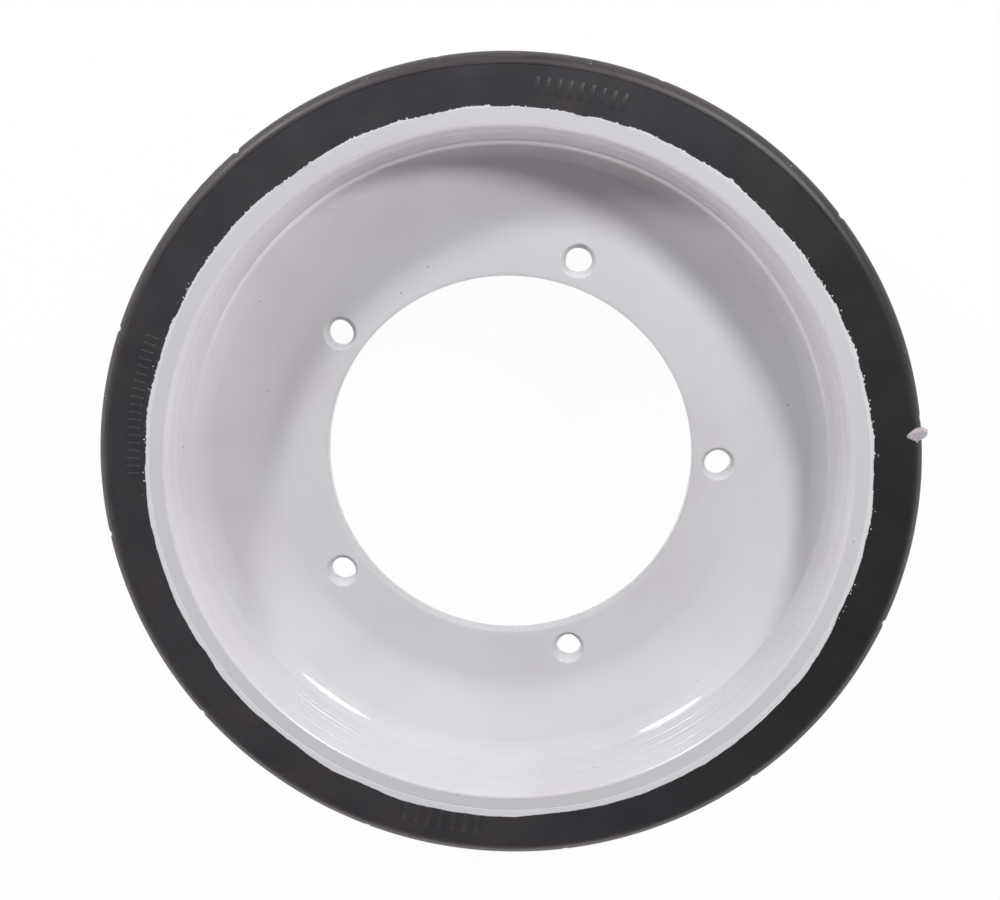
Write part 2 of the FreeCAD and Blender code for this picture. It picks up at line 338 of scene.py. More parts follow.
def fill_between(bm, outline_rings):
    """Flat face between an outer ring and the rings inside it."""
    edges = []
    for ring in outline_rings:
        for k, vert in enumerate(ring):
            other = ring[(k + 1) % len(ring)]
            edges.append(bm.edges.get((vert, other)) or bm.edges.new((vert, other)))
    bmesh.ops.triangle_fill(bm, use_beauty=True, use_dissolve=False, edges=edges)


def close_mesh(bm, name, sharp):
    """Weld, turn all faces outwards and shade smooth up to an edge angle in degrees."""
    bmesh.ops.remove_doubles(bm, verts=bm.verts, dist=1e-6)
    bmesh.ops.recalc_face_normals(bm, faces=bm.faces)
    mesh = bpy.data.meshes.new(name)
    bm.to_mesh(mesh)
    bm.free()
    mesh.shade_smooth()
    mesh.set_sharp_from_angle(angle=math.radians(sharp))
    return mesh


def even_angles(count):
    """Angles at even steps round a circle, in radians."""
    return [math.tau * k / count for k in range(count)]


def within(angle, start, end, fade):
    """1 inside a sector, given in degrees, and falling to 0 over a number of degrees outside."""
    middle = (start + end) / 2
    off = abs((math.degrees(angle) - middle + 180) % 360 - 180)
    return max(0.0, min(1.0, 1 - (off - (end - start) / 2) / fade))


def rim_face(s):
    """The rim's flat turned face, from the tyre inwards to the lip's roll."""
    start = s["lip_radius"] + s["lip_roll"]
    rings = [(SEAT_RADIUS, FRONT - SEAM_DEPTH)]
    for r, z in spaced((SEAT_RADIUS - SEAM_WIDTH, FRONT), (start, FRONT), RIM_SPACING):
        wander = noise.noise(Vector((r * 1.9, 3.1, 0)))
        swing = 1 + math.sin(math.tau * r / TURNING_PITCH) + wander
        rings.append((r, z - s["turning"] * max(0.0, swing)))
    return rings


def wall_line(s, top, foot):
    """The dish wall from under the lip to its foot, with the tool's ripple and ledges."""
    wall = []
    for r, z in spaced(top, foot, WALL_SPACING):
        deep = FRONT - z
        fade_in = min(1, (top[1] - z) / WALL_FADE)
        swell = s["ripple"] * fade_in * math.sin(math.tau * deep / s["ripple_pitch"])
        for place, slope, width in LEDGES:
            back = width * math.cos(math.radians(slope))
            swell += back * max(0.0, 1 - (place - deep) / WALL_FADE) if deep <= place else 0
        wall.append((r + swell, z))
    for place, slope, width in LEDGES:
        across, down = math.cos(math.radians(slope)), math.sin(math.radians(slope))
        start = next(k for k, (_, z) in enumerate(wall) if FRONT - z > place)
        r, z = wall[start]
        ledge = [(r + width * across * k / 3, z + width * down * k / 3) for k in (3, 2, 1)]
        wall[start:start] = ledge
    return wall


def dish_profile(s, a):
    """The dish from the rolled lip down the wall, the hollow and the slope to the disc."""
    draft = a["front_draft"]
    roll = s["lip_roll"]
    lean = math.tan(draft)
    drop = roll * (1 - math.sin(draft))
    wall_top = (s["lip_radius"] - drop * lean, FRONT - drop)
    foot = (s["lip_radius"] - s["wall_depth"] * lean, FRONT - s["wall_depth"])
    centre = wall_top[0] + roll * math.cos(draft), FRONT - roll
    lip = arc(*centre, roll, math.pi / 2, math.pi - draft, LIP_STEPS)[:-1]
    wall = wall_line(s, wall_top, foot)
    big = s["corner_radius"]
    begin, end = a["corner_start"], a["corner_end"]
    centre = foot[0] - big * math.cos(begin), foot[1] + big * math.sin(begin)
    hollow = arc(*centre, big, -begin, -end, CORNER_STEPS)
    edge = (s["hollow_radius"], s["hollow_height"])
    hollow += spaced(hollow[-1], edge, WALL_SPACING)[1:]
    floor_edge = (s["floor_radius"], s["disc_height"])
    slope = (edge[1] - floor_edge[1]) / (edge[0] - floor_edge[0])
    bowl = eased(edge, floor_edge, slope * BOWL_LEAN, BOWL_SPACING)
    return lip + wall + hollow + bowl + [floor_edge]


def rear_profile(s, a):
    """The back: the barrel's rear edge, the recess and its corner, and the turned pad's edge."""
    web, pad = s["pad_rise"], s["pad_radius"]
    draft, sweep = a["rear_draft"], s["rear_corner"]
    lean = math.tan(draft)
    lip = SEAT_RADIUS - s["rear_wall"]
    foot = lip + (REAR - web) * lean
    centre = foot - sweep / math.cos(draft) + sweep * lean, web - sweep
    edge = [(SEAT_RADIUS, REAR), (lip + 1.4, REAR), (lip + 0.6, REAR + 0.25)]
    edge.append((lip + 0.1, REAR + 0.9))
    corner = arc(*centre, sweep, -draft, math.pi / 2, CORNER_STEPS)
    step = [(pad + 1.6, web), (pad + 0.5, web - 0.3), (pad, web - 0.9), (pad - 0.3, 0.2)]
    return edge + corner + step + [(pad - 0.9, 0.0), (pad - 2, 0.0)]


def bore_profile(floor):
    """The bore's wall between its rolled edges, from the back to the disc's front face."""
    bore = BORE_RADIUS
    back = [(bore + 2, 0.0), (bore + 0.6, 0.0), (bore + 0.15, 0.15), (bore, 0.6)]
    return back + [(r, floor - z) for r, z in reversed(back)]


def hole_profile(floor, seat):
    """A bolt hole's wall, from the rolled edge of its nut seat down to the back."""
    hole = BOLT_RADIUS
    levels = [(seat + 1.2, floor), (seat + 0.4, floor), (seat + 0.1, floor - 0.1)]
    levels += [(seat - 0.2, floor - 0.45), (hole + 0.2, floor - 2.4), (hole, floor - 3.0)]
    return levels + [(hole, 0.6), (hole + 0.15, 0.15), (hole + 0.5, 0.0), (hole + 1, 0.0)]


def build_wheel_mesh(s, a):
    """The casting: rings for the front, barrel, back and bore, with the bolt holes between."""
    floor = s["disc_height"]
    angles = even_angles(WHEEL_STEPS)
    bm = bmesh.new()
    profile = rim_face(s) + dish_profile(s, a)
    profile += [(s["floor_radius"] - inward, floor) for inward in (1, 2)]
    front = turned_strip(bm, profile, angles)
    barrel = [(SEAT_RADIUS, height) for height in (REAR, 0.0, FRONT - 1)]
    join_rings(bm, turned_strip(bm, barrel, angles)[-1], front[0])
    rear = turned_strip(bm, rear_profile(s, a), angles)
    bore = turned_strip(bm, bore_profile(floor), angles)
    fronts, backs = [front[-1], bore[-1]], [rear[-1], bore[0]]
    for k in range(BOLT_COUNT):
        turned = a["bolt_start"] + math.tau * k / BOLT_COUNT
        x, y = BOLT_CIRCLE * math.cos(turned), BOLT_CIRCLE * math.sin(turned)
        rings = [hole_ring(bm, x, y, r, z) for r, z in hole_profile(floor, s["seat_radius"])]
        for low, high in zip(rings, rings[1:]):
            join_rings(bm, low, high)
        fronts.append(rings[0])
        backs.append(rings[-1])
    fill_between(bm, fronts)
    fill_between(bm, backs)
    return close_mesh(bm, "wheel_casting", 40)


def tyre_angles(start):
    """Angles round the tyre, one a degree and close together at the notches."""
    found = {float(k) for k in range(360)}
    for k in range(len(NOTCH_SHARES)):
        middle = math.degrees(start) + 360 / len(NOTCH_SHARES) * k
        for step in range(-NOTCH_STEPS, NOTCH_STEPS + 1):
            found.add(round((middle + step * NOTCH_SPACING) % 360, 4))
    return [math.radians(angle) for angle in sorted(found)]


def tyre_profile(line, round_off):
    """The tyre's section over the front, the tread and the back, with the parting line's rings."""
    front = [(SEAT_RADIUS, FRONT - SEAM_DEPTH), (SEAT_RADIUS + SEAM_WIDTH, FRONT)]
    front += spaced((SEAT_RADIUS + 0.6, FRONT), (line - 0.5, FRONT), SIDEWALL_SPACING)
    front += [(line - 0.5, FRONT), (line - 0.28, FRONT), (line - 0.12, FRONT - 0.01)]
    shoulder = arc(line, FRONT - round_off, round_off, math.pi / 2, 0, SHOULDER_STEPS)
    front += [shoulder[0], (line + 0.14, FRONT - 0.02), (line + 0.3, FRONT - 0.02), *shoulder[1:]]
    rear = [(r, REAR + FRONT - z) for r, z in reversed(front)]
    return front + spaced(front[-1], rear[0], TREAD_SPACING)[1:] + rear


def build_tyre_mesh(s, a):
    """The tyre, with an uneven tread, notches across it and a parting line on each sidewall."""
    line = TREAD_RADIUS - s["shoulder"]
    half = s["notch_width"] / 2
    step = math.tau / len(NOTCH_SHARES)

    def shift(radius, height, angle):
        """A point of the profile after moulding. The shoulder fades into the tread over 4 mm."""
        outer = max(0.0, min(1.0, (radius - line - 1) / 4))
        # Slow swells of up to 0.3 mm and small ones of 0.06 mm
        place = Vector((math.cos(angle), math.sin(angle), height / 60))
        sink = 0.3 * abs(noise.noise(place * 1.3)) + 0.06 * abs(noise.noise(place * 14))
        number = round((angle - a["notch_start"]) / step)
        across = abs(angle - a["notch_start"] - number * step) * radius
        if across < half:
            share = NOTCH_SHARES[number % len(NOTCH_SHARES)]
            sink += share * s["notch_depth"] * min(1, 1.4 * (1 - across / half)) * outer
        # The parting line is deepest over the upper part of the front, and faint elsewhere
        if abs(radius - line) < LINE_REACH and height > 0:
            seen = 0.2 + 0.8 * within(angle, 40, 146, 8)
            height -= s["line_depth"] * seen
        if abs(radius - line) < LINE_REACH and height < 0:
            height += s["line_depth"] * 0.5
        return radius - sink * max(outer, 0.2 * (radius > line + 0.5)), height

    bm = bmesh.new()
    profile = tyre_profile(line, s["shoulder"])
    rings = turned_strip(bm, profile, tyre_angles(a["notch_start"]), shift)
    join_rings(bm, rings[-1], rings[0])
    return close_mesh(bm, "tyre_ring", 55)


def build_bars_mesh(s):
    """Rows of plain raised bars with sloping sides, moulded on the sidewall."""
    bm = bmesh.new()
    for first, last, inner, outer, width, count in BAR_ROWS:
        for k in range(count):
            angle = math.radians(first + (last - first) * k / (count - 1))
            out = Vector((math.cos(angle), math.sin(angle), 0))
            side = Vector((-math.sin(angle), math.cos(angle), 0))
            rings = []
            for grow, share in BAR_SECTIONS:
                level = Vector((0, 0, FRONT + s["mark_rise"] * share))
                ring = []
                for r, across in ((inner, -1), (outer, -1), (outer, 1), (inner, 1)):
                    reach = r + (grow if r == outer else -grow)
                    spot = out * reach + side * across * (width / 2 + grow)
                    ring.append(bm.verts.new((spot + level) * MM))
                rings.append(ring)
            for low, high in zip(rings, rings[1:]):
                join_rings(bm, low, high)
            bm.faces.new(rings[0][::-1])
            bm.faces.new(rings[-1])
    return close_mesh(bm, "moulded_bars", 50)


def build_vents_mesh(s, a):
    """Torn stubs of rubber on the shoulder where the mould's vents let the air out, two beside
    each other, a third of the way from one notch to the next."""
    bm = bmesh.new()
    line = TREAD_RADIUS - s["shoulder"]
    reach = s["shoulder"] - 0.1
    count = len(NOTCH_SHARES)
    for k in range(count):
        angle = a["notch_start"] + math.tau * (k + 0.33) / count
        out = Vector((math.cos(angle), math.sin(angle), 0))
        side = Vector((-math.sin(angle), math.cos(angle), 0))
        radius = line + reach * math.cos(VENT_LEAN)
        height = FRONT - s["shoulder"] + reach * math.sin(VENT_LEAN)
        axis = out * math.cos(VENT_LEAN) + Vector((0, 0, 1)) * math.sin(VENT_LEAN)
        across = side.cross(axis)
        middle = out * radius + Vector((0, 0, height))
        for along, size in VENT_LUMPS:
            made = bmesh.ops.create_icosphere(bm, subdivisions=2, radius=1)["verts"]
            for vert in made:
                x, y, z = vert.co
                rough = 1 + 0.35 * noise.noise(vert.co * 1.9 + Vector((k * 3.7, along, 0)))
                spot = side * (along + x * size) + across * y * size * 0.8 + axis * z * 0.3
                vert.co = (middle + spot * rough) * MM
    return close_mesh(bm, "vent_stubs", 180)


def build_dab_mesh(turned):
    """The lump of set paint: a round outer end, a narrow inner one and a spike below."""
    (low_x, _, low_z), (high_x, _, high_z) = DAB_BOX
    middle_r = (low_x + high_x) / 2 / math.cos(turned)
    height = (low_z + high_z) / 2 + 0.4
    middle = Vector((middle_r * math.cos(turned), middle_r * math.sin(turned), height))
    long, wide, tall = DAB_REACH
    bm = bmesh.new()
    bmesh.ops.create_icosphere(bm, subdivisions=6, radius=1)
    for vert in bm.verts:
        lumps = 1 + 0.05 * noise.noise(vert.co * 2.1 + Vector((4, 1, 7)))
        lumps += 0.02 * noise.noise(vert.co * 6.5)
        # Pushes the ball out into a box with round edges
        full = (math.hypot(vert.co.x, vert.co.y) ** 4 + vert.co.z**4) ** -0.25
        u, v, w = vert.co * full
        narrow = 1 - 0.42 * max(0.0, -u - 0.1) ** 1.3
        spike = 0.4 * math.exp(-(((u + 0.1) / 0.14) ** 2)) * max(0.0, -v) ** 3
        side = (v * narrow - spike) * wide + 0.45 * u
        vert.co = Vector((u * long * lumps, side * lumps, w * tall * lumps))
        vert.co = Matrix.Rotation(turned, 3, "Z") @ vert.co
        vert.co += middle
        vert.co.x = min(vert.co.x, high_x - DAB_GAP)
        vert.co.z = min(vert.co.z, high_z - DAB_GAP)
        vert.co *= MM
    return close_mesh(bm, "paint_lump", 180)


def place_nodes(tree):
    """Nodes that the finishes share, in millimetres: the place, the distance from the axle, and
    the point of the same direction on a ring the size of the tyre's seat."""
    place = add_node(tree, "ShaderNodeTexCoord").outputs["Object"]
    spot = add_node(tree, VECTOR, {0: place, 3: 1 / MM}, operation="SCALE")
    flat = add_node(tree, VECTOR, {0: spot, 1: (1, 1, 0)}, operation="MULTIPLY")
    radius = add_node(tree, VECTOR, {0: flat}, operation="LENGTH")
    unit = add_node(tree, VECTOR, {0: flat}, operation="NORMALIZE")
    around = add_node(tree, VECTOR, {0: unit, 3: SEAT_RADIUS}, operation="SCALE")
    return spot, radius, around


def ramp(low, high, start=0.0, end=1.0):
    """Settings that carry a value from start to end as it goes from low to high, no further."""
    return {"From Min": low, "From Max": high, "To Min": start, "To Max": end}


def sector(tree, around, middle, half, fade):
    """1 in a sector of the wheel round a middle, falling to 0 over a fade, all in degrees."""
    turned = math.radians(middle)
    towards = (math.cos(turned) / SEAT_RADIUS, math.sin(turned) / SEAT_RADIUS, 0)
    along = add_node(tree, VECTOR, {0: around, 1: towards}, operation="DOT_PRODUCT")
    inner, outer = math.cos(math.radians(half)), math.cos(math.radians(half + fade))
    return add_node(tree, RANGE, {"Value": along, **ramp(outer, inner)})


def specks(tree, vector, spacing, size, share):
    """Small scattered dots: one for each cell of a spacing, kept only in a share of the cells."""
    cells = add_node(tree, "ShaderNodeTexVoronoi", {"Vector": vector, "Scale": 1 / spacing})
    near = ramp(size / spacing, size * 1.4 / spacing, 1.0, 0.0)
    dot = add_node(tree, RANGE, {"Value": cells.outputs["Distance"], **near})
    pick = add_node(tree, "ShaderNodeSeparateColor", {"Color": cells.outputs["Color"]})
    kept = add_node(tree, MATH, {0: pick.outputs[0], 1: share}, operation="LESS_THAN")
    return add_node(tree, MATH, {0: dot, 1: kept}, operation="MULTIPLY")


def enamel_material(colours):
    """White enamel, sprayed over cast and turned steel.

    It gives bright, glassy streaks in the hollow of the dish, a slight orange peel, and the rings
    of the turned rim seen through a thin coat."""
    material = new_material("gloss_enamel_on_cast_steel")
    tree = material.node_tree
    spot, radius, around = place_nodes(tree)
    # Faint stains a few centimetres across, a slightly darker tone on the rim's face, and dark
    # specks
    cloud = add_node(tree, NOISE, {"Vector": spot, "Scale": 1 / 60, "Detail": 3.0})
    cloud = add_node(tree, RANGE, {"Value": cloud, **ramp(0.35, 0.7)})
    tones = {COLOUR_A: (*colours.enamel, 1), COLOUR_B: (*colours.enamel_stained, 1)}
    tone = add_node(tree, MIX, {0: cloud, **tones}, data_type="RGBA")
    rim = add_node(tree, RANGE, {"Value": radius, **ramp(169.4, 170.6)})
    rim_tone = add_node(tree, MATH, {0: rim, 1: 0.7}, operation="MULTIPLY")
    tones = {COLOUR_A: tone, COLOUR_B: (*colours.enamel_rim_tone, 1)}
    tone = add_node(tree, MIX, {0: rim_tone, **tones}, data_type="RGBA")
    dots = specks(tree, spot, spacing=14, size=0.4, share=0.24)
    dots = add_node(tree, MATH, {0: dots, 1: 0.7}, operation="MULTIPLY")
    tones = {COLOUR_A: tone, COLOUR_B: (*colours.grime, 1)}
    tone = add_node(tree, MIX, {0: dots, **tones}, data_type="RGBA")
    # Orange peel of about 3 mm, and tool rings 0.7 mm apart, drawn as coarse as they need to show
    peel = add_node(tree, NOISE, {"Vector": spot, "Scale": 1 / 3})
    wander = add_node(tree, NOISE, {"Vector": around, "Scale": 1 / 45, "Detail": 3.0})
    wander = add_node(tree, MATH, {0: wander, 1: rim}, operation="MULTIPLY")
    rings = add_node(tree, MATH, {0: radius, 1: math.tau / 0.7}, operation="MULTIPLY")
    rings = add_node(tree, MATH, {0: rings}, operation="SINE")
    rings = add_node(tree, MATH, {0: rings, 1: wander}, operation="MULTIPLY")
    rings = add_node(tree, MATH, {0: rings, 1: 0.008}, operation="MULTIPLY")
    height = add_node(tree, MATH, {0: peel, 1: 0.006, 2: rings}, operation="MULTIPLY_ADD")
    bump = add_node(tree, "ShaderNodeBump", {"Height": height, "Strength": 1.0, "Distance": MM})
    wall = add_node(tree, RANGE, {"Value": radius, **ramp(161.5, 163.5, 0.06, 0.14)})
    rough = add_node(tree, MIX, {0: rim, VALUE_A: wall, VALUE_B: 0.5}, data_type="FLOAT")
    finish = {"Base Color": tone, "Roughness": rough, "IOR": 1.5, "Normal": bump}
    surface = add_node(tree, "ShaderNodeBsdfPrincipled", finish)
    add_node(tree, "ShaderNodeOutputMaterial", {"Surface": surface})
    return material


def overspray(tree, spot, radius, around):
    """Where the enamel runs out onto the rubber: a rough edge with spikes and stray dots."""
    axes = add_node(tree, "ShaderNodeSeparateXYZ", {0: around})
    upward = axes.outputs[1]
    drift = ramp(-SEAT_RADIUS, SEAT_RADIUS, 180.2, 177.6)
    drift = add_node(tree, RANGE, {"Value": upward, **drift})
    wave = add_node(tree, NOISE, {"Vector": around, "Scale": 1 / 26})
    wave = add_node(tree, RANGE, {"Value": wave, **ramp(0.3, 0.7, -0.8, 0.8)})
    upper = add_node(tree, RANGE, {"Value": upward, **ramp(-40.0, 60.0, 0.25, 1.0)})
    spikes = add_node(tree, NOISE, {"Vector": spot, "Scale": 1 / 1.6, "Detail": 3.0})
    spikes = add_node(tree, RANGE, {"Value": spikes, **ramp(0.5, 0.75, 0.0, 1.0)})
    spikes = add_node(tree, MATH, {0: spikes, 1: upper, 2: wave}, operation="MULTIPLY_ADD")
    edge = add_node(tree, MATH, {0: drift, 1: spikes}, operation="ADD")
    past = add_node(tree, MATH, {0: radius, 1: edge}, operation="SUBTRACT")
    coat = add_node(tree, RANGE, {"Value": past, **ramp(-0.12, 0.14, 1.0, 0.0)})
    near = add_node(tree, RANGE, {"Value": past, **ramp(1.4, 2.4, 1.0, 0.0)})
    right = sector(tree, around, 7, 26, 8)
    left = sector(tree, around, 165, 15, 6)
    where = add_node(tree, MATH, {0: right, 1: left}, operation="MAXIMUM")
    where = add_node(tree, MATH, {0: where, 1: near}, operation="MULTIPLY")
    dots = specks(tree, spot, spacing=1.7, size=0.3, share=0.5)
    dots = add_node(tree, MATH, {0: dots, 1: where}, operation="MULTIPLY")
    coat = add_node(tree, MATH, {0: coat, 1: dots}, operation="MAXIMUM")
    height = add_node(tree, "ShaderNodeSeparateXYZ", {0: spot}).outputs[2]
    front = add_node(tree, RANGE, {"Value": height, **ramp(FRONT - 3, FRONT - 2)})
    return add_node(tree, MATH, {0: coat, 1: front}, operation="MULTIPLY")


def rubber_material(colours):
    """Solid rubber as it left the mould.

    Near black with a soft sheen, brownish on the shoulder, faintly scratched round the sidewall,
    and coated by the wheel's enamel at its inner edge."""
    material = new_material("moulded_solid_rubber")
    tree = material.node_tree
    spot, radius, around = place_nodes(tree)
    cloud = add_node(tree, NOISE, {"Vector": spot, "Scale": 1 / 28, "Detail": 5.0})
    cloud = add_node(tree, RANGE, {"Value": cloud, **ramp(0.35, 0.7)})
    tones = {COLOUR_A: (*colours.rubber, 1), COLOUR_B: (*colours.rubber_dusty, 1)}
    tone = add_node(tree, MIX, {0: cloud, **tones}, data_type="RGBA")
    # Painted shade: the rubber is made darker round the right side of the tyre
    right_shade = sector(tree, around, 355, 28, 50)
    right_shade = add_node(tree, MATH, {0: right_shade, 1: 0.85}, operation="MULTIPLY")
    tones = {COLOUR_A: tone, COLOUR_B: (*colours.rubber_right_shade, 1)}
    tone = add_node(tree, MIX, {0: right_shade, **tones}, data_type="RGBA")
    # Rubbing round the wheel leaves streaks a few centimetres long and under a millimetre wide
    along = add_node(tree, VECTOR, {0: around, 3: 0.04}, operation="SCALE")
    height = add_node(tree, "ShaderNodeSeparateXYZ", {0: spot}).outputs[2]
    out = add_node(tree, MATH, {0: radius, 1: height}, operation="ADD")
    out = add_node(tree, "ShaderNodeCombineXYZ", {2: out})
    streaky = add_node(tree, VECTOR, {0: along, 1: out}, operation="ADD")
    streaks = add_node(tree, NOISE, {"Vector": streaky, "Scale": 1 / 0.8, "Detail": 4.0})
    worn = add_node(tree, RANGE, {"Value": streaks, **ramp(0.3, 0.75)})
    shoulder = add_node(tree, RANGE, {"Value": radius, **ramp(196.8, 197.6, 0.2, 0.9)})
    worn = add_node(tree, MATH, {0: worn, 1: shoulder}, operation="MULTIPLY")
    # The painted shade on the right side also takes the brownish tint off the shoulder there
    worn = add_node(tree, MATH, {0: worn, 1: right_shade}, operation="SUBTRACT", use_clamp=True)
    front = add_node(tree, RANGE, {"Value": height, **ramp(FRONT - 14, FRONT - 6, 0.15, 1.0)})
    worn = add_node(tree, MATH, {0: worn, 1: front}, operation="MULTIPLY")
    tones = {COLOUR_A: tone, COLOUR_B: (*colours.rubber_worn, 1)}
    tone = add_node(tree, MIX, {0: worn, **tones}, data_type="RGBA")
    coat = overspray(tree, spot, radius, around)
    tones = {COLOUR_A: tone, COLOUR_B: (*colours.enamel, 1)}
    tone = add_node(tree, MIX, {0: coat, **tones}, data_type="RGBA")
    # Skin of the moulding about 0.7 mm in grain, with the streaks and the coat's own thickness
    skin = add_node(tree, NOISE, {"Vector": spot, "Scale": 1 / 0.7, "Detail": 3.0})
    height = add_node(tree, MATH, {0: skin, 1: streaks}, operation="ADD")
    height = add_node(tree, MATH, {0: height, 1: 0.012}, operation="MULTIPLY")
    height = add_node(tree, MATH, {0: coat, 1: 0.12, 2: height}, operation="MULTIPLY_ADD")
    bump = add_node(tree, "ShaderNodeBump", {"Height": height, "Strength": 0.8, "Distance": MM})
    sheen = add_node(tree, RANGE, {"Value": cloud, **ramp(0, 1, 0.42, 0.5)})
    rough = add_node(tree, MIX, {0: coat, VALUE_A: sheen, VALUE_B: 0.45}, data_type="FLOAT")
    finish = {"Base Color": tone, "Roughness": rough, "IOR": 1.5, "Normal": bump}
    surface = add_node(tree, "ShaderNodeBsdfPrincipled", finish)
    add_node(tree, "ShaderNodeOutputMaterial", {"Surface": surface})
    return material


def vent_material(colours):
    """Rubber torn off at the vents: pale grey, dull and rough."""
    material = new_material("torn_rubber")
    tree = material.node_tree
    spot = place_nodes(tree)[0]
    grain = add_node(tree, NOISE, {"Vector": spot, "Scale": 1 / 0.5, "Detail": 3.0})
    patch = add_node(tree, RANGE, {"Value": grain, **ramp(0.35, 0.65)})
    tones = {COLOUR_A: (*colours.rubber, 1), COLOUR_B: (*colours.vent, 1)}
    tone = add_node(tree, MIX, {0: patch, **tones}, data_type="RGBA")
    relief = {"Height": grain, "Strength": 0.5, "Distance": 0.3 * MM}
    bump = add_node(tree, "ShaderNodeBump", relief)
    finish = {"Base Color": tone, "Roughness": 0.7, "IOR": 1.5, "Normal": bump}
    surface = add_node(tree, "ShaderNodeBsdfPrincipled", finish)
    add_node(tree, "ShaderNodeOutputMaterial", {"Surface": surface})
    return material


def dab_material(colours):
    """Lump of enamel that skinned over as it set: lilac grey, dull, with a fine wrinkle whose
    hollows hold painted shade.
    """
    material = new_material("skinned_enamel")
    tree = material.node_tree
    spot = place_nodes(tree)[0]
    wrinkle = add_node(tree, NOISE, {"Vector": spot, "Scale": 1 / 1.1, "Detail": 4.0})
    # Painted shade: the enamel is darkened in the hollows of the wrinkle, following its bump
    wrinkle_shade = add_node(tree, RANGE, {"Value": wrinkle, **ramp(0.3, 0.6)})
    low = tuple(level * 0.72 for level in colours.dab)
    tones = {COLOUR_A: (*low, 1), COLOUR_B: (*colours.dab, 1)}
    tone = add_node(tree, MIX, {0: wrinkle_shade, **tones}, data_type="RGBA")
    relief = {"Height": wrinkle, "Strength": 0.6, "Distance": 0.4 * MM}
    bump = add_node(tree, "ShaderNodeBump", relief)
    finish = {"Base Color": tone, "Roughness": 0.42, "IOR": 1.5, "Normal": bump}
    surface = add_node(tree, "ShaderNodeBsdfPrincipled", finish)
    add_node(tree, "ShaderNodeOutputMaterial", {"Surface": surface})
    return material


class PLATFORMWHEEL_OT_wheel(bpy.types.Operator):
    """Build the white cast wheel"""

    bl_idname = "platform_wheel.wheel"
    bl_label = "Cast wheel"

    def execute(self, context):
        scene = context.scene
        mesh = build_wheel_mesh(sizes(scene.wheel_sizes), angles_of(scene.wheel_angles))
        enamel = enamel_material(scene.finish_colours)
        finish_object("wheel_casting", mesh, enamel, "wheel", slot="wheel_paint")
        return {"FINISHED"}


class PLATFORMWHEEL_OT_tyre(bpy.types.Operator):
    """Build the solid rubber tyre with its moulded bars and vent stubs"""

    bl_idname = "platform_wheel.tyre"
    bl_label = "Solid tyre"

    def execute(self, context):
        scene = context.scene
        s, a = sizes(scene.tyre_sizes), angles_of(scene.wheel_angles)
        rubber = rubber_material(scene.finish_colours)
        finish_object("tyre_ring", build_tyre_mesh(s, a), rubber, "tyre", slot="tyre_rubber")
        finish_object("moulded_bars", build_bars_mesh(s), rubber, slot="tyre_rubber")
        torn = vent_material(scene.finish_colours)
        finish_object("vent_stubs", build_vents_mesh(s, a), torn, slot="tyre_rubber")
        return {"FINISHED"}


class PLATFORMWHEEL_OT_dab(bpy.types.Operator):
    """Build the lump of set paint on the shoulder"""

    bl_idname = "platform_wheel.dab"
    bl_label = "Paint dab"

    def execute(self, context):
        scene = context.scene
        mesh = build_dab_mesh(scene.wheel_angles.dab_angle)
        skinned = dab_material(scene.finish_colours)
        finish_object("paint_lump", mesh, skinned, "paint_dab", slot="wheel_paint")
        return {"FINISHED"}


def soft_lamp(name, azimuth, elevation, power, colour):
    """Oval soft lamp, in a direction in degrees from the wheel, that points at it."""
    a, e = math.radians(azimuth), math.radians(elevation)
    back = Vector((math.cos(a) * math.cos(e), math.sin(a) * math.cos(e), math.sin(e)))
    light = bpy.data.lights.new(name, "AREA")
    light.shape = "ELLIPSE"
    light.size, light.size_y = LAMP_SIZE
    light.energy = power
    light.color = linear(colour)
    lamp = bpy.data.objects.new(name, light)
    lamp.location = back * LAMP_DISTANCE
    lamp.rotation_euler = (-back).to_track_quat("-Z", "Y").to_euler()
    bpy.context.scene.collection.objects.link(lamp)


def pale_walls():
    """World of a room whose pale walls stand round the wheel under a dark ceiling. They are a
    little brighter on the side below the camera."""
    world = bpy.data.worlds.new("studio")
    world.use_nodes = True
    tree = world.node_tree
    tree.nodes.clear()
    facing = add_node(tree, "ShaderNodeTexCoord").outputs["Generated"]
    axes = add_node(tree, "ShaderNodeSeparateXYZ", {0: facing})
    wall = {"Value": axes.outputs[2], **ramp(0.14, 0.33, 2.3, 0.06)}
    wall = add_node(tree, RANGE, wall, interpolation_type="SMOOTHSTEP")
    side = add_node(tree, RANGE, {"Value": axes.outputs[1], **ramp(-0.9, 0.9, 1.85, 0.3)})
    light = add_node(tree, MATH, {0: wall, 1: side}, operation="MULTIPLY")
    air = {"Color": (*linear("#fff5f7"), 1), "Strength": light}
    air = add_node(tree, "ShaderNodeBackground", air)
    add_node(tree, "ShaderNodeOutputWorld", {"Surface": air})
    return world


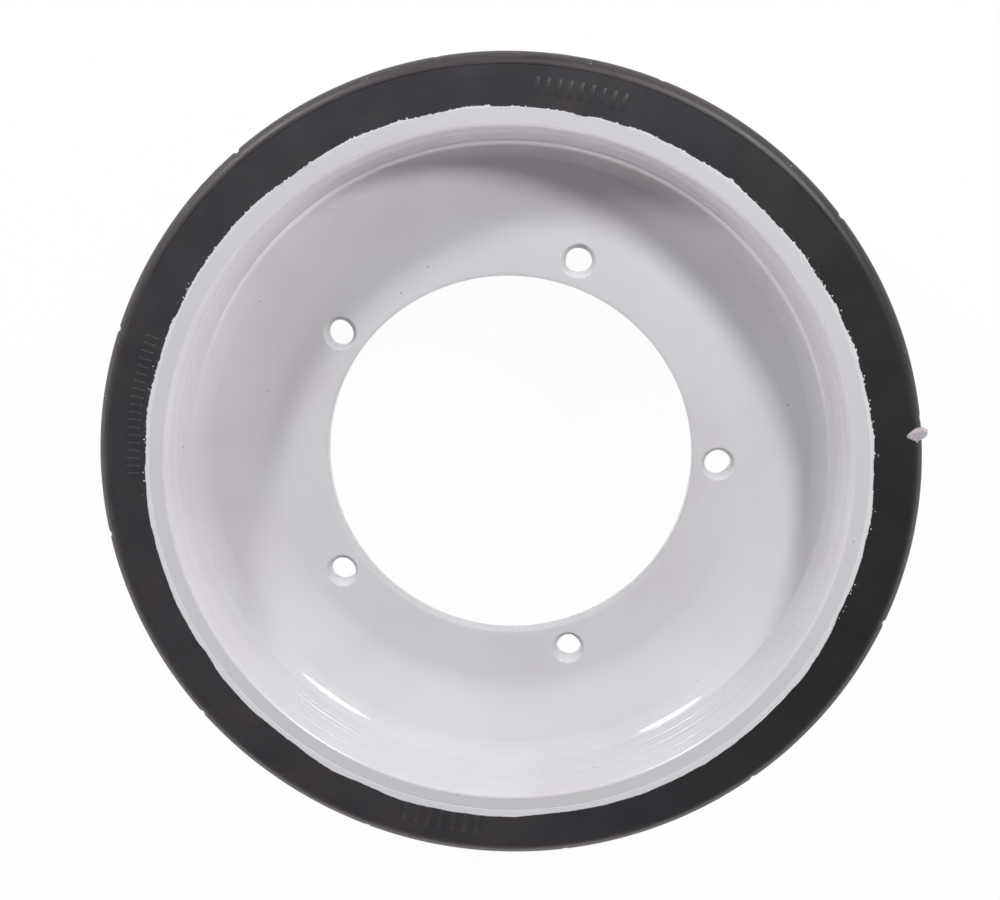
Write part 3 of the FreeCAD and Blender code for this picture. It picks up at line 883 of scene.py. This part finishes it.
def white_floor(colours):
    """Plain paper floor under the wheel, which the camera and reflections see as nearly white."""
    bm = bmesh.new()
    bmesh.ops.create_grid(bm, x_segments=1, y_segments=1, size=FLOOR_REACH)
    mesh = bpy.data.meshes.new("floor")
    bm.to_mesh(mesh)
    bm.free()
    floor = bpy.data.objects.new("floor", mesh)
    floor.location.z = REAR * MM
    bpy.context.scene.collection.objects.link(floor)
    material = new_material("white_paper_backdrop")
    tree = material.node_tree
    path = add_node(tree, "ShaderNodeLightPath")
    plain = add_node(tree, "ShaderNodeBsdfDiffuse", {"Color": (*colours.floor, 1)})
    white = add_node(tree, "ShaderNodeEmission", {"Color": (1, 1, 1, 1), "Strength": 1.0})
    rays = [path.outputs[f"Is {kind} Ray"] for kind in ("Camera", "Glossy", "Transmission")]
    seen = add_node(tree, MATH, {0: rays[0], 1: rays[1]}, operation="MAXIMUM")
    seen = add_node(tree, MATH, {0: seen, 1: rays[2]}, operation="MAXIMUM")
    share = add_node(tree, MATH, {0: seen, 1: 0.97}, operation="MULTIPLY")
    mix = add_node(tree, "ShaderNodeMixShader", {0: share, 1: plain, 2: white})
    add_node(tree, "ShaderNodeOutputMaterial", {"Surface": mix})
    mesh.materials.append(material)


def set_camera(scene):
    """The photograph's view: from just above the wheel's middle and a little to its right."""
    lens = bpy.data.cameras.new("camera")
    lens.sensor_width = 36
    lens.lens = FOCAL_LENGTH
    lens.clip_start = 0.05
    camera = bpy.data.objects.new("camera", lens)
    forward = Vector(CAMERA_FORWARD).normalized()
    right = forward.cross(Vector(CAMERA_UP)).normalized()
    facing = Matrix((right, right.cross(forward), -forward)).transposed()
    camera.matrix_world = Matrix.Translation(Vector(CAMERA_PLACE) * MM) @ facing.to_4x4()
    scene.collection.objects.link(camera)
    scene.camera = camera


class PLATFORMWHEEL_OT_stage(bpy.types.Operator):
    """Set the pale floor, the lamps and the camera"""

    bl_idname = "platform_wheel.stage"
    bl_label = "Floor, lamps and camera"

    def execute(self, context):
        scene = context.scene
        white_floor(scene.finish_colours)
        soft_lamp("left_softbox", azimuth=133, elevation=33.5, power=28, colour="#fcfcff")
        soft_lamp("right_softbox", azimuth=46, elevation=45.5, power=39, colour="#fffdfd")
        scene.world = pale_walls()
        set_camera(scene)
        scene.view_settings.view_transform = "Standard"
        return {"FINISHED"}


GROUPS = {
    "wheel_sizes": WheelSizes,
    "wheel_angles": WheelAngles,
    "tyre_sizes": TyreSizes,
    "finish_colours": FinishColours,
}
OPERATORS = (
    PLATFORMWHEEL_OT_wheel,
    PLATFORMWHEEL_OT_tyre,
    PLATFORMWHEEL_OT_dab,
    PLATFORMWHEEL_OT_stage,
)


class PLATFORMWHEEL_PT_panel(bpy.types.Panel):
    """Buttons that build the pieces and the stage, with every size and colour"""

    bl_label = "Platform Wheel"
    bl_idname = "PLATFORMWHEEL_PT_panel"
    bl_space_type = "VIEW_3D"
    bl_region_type = "UI"
    bl_category = "Platform Wheel"

    def draw(self, context):
        for operator in OPERATORS:
            self.layout.operator(operator.bl_idname)
        for name in GROUPS:
            settings = getattr(context.scene, name)
            box = self.layout.box()
            for value in settings.__annotations__:
                box.prop(settings, value)


def register():
    for name, group in GROUPS.items():
        bpy.utils.register_class(group)
        setattr(bpy.types.Scene, name, bpy.props.PointerProperty(type=group))
    for item in (*OPERATORS, PLATFORMWHEEL_PT_panel):
        bpy.utils.register_class(item)


def unregister():
    for item in (PLATFORMWHEEL_PT_panel, *reversed(OPERATORS)):
        bpy.utils.unregister_class(item)
    for name, group in GROUPS.items():
        delattr(bpy.types.Scene, name)
        bpy.utils.unregister_class(group)


def main():
    register()
    bpy.ops.platform_wheel.wheel()
    bpy.ops.platform_wheel.tyre()
    bpy.ops.platform_wheel.dab()
    bpy.ops.platform_wheel.stage()


if __name__ == "__main__":
    main()
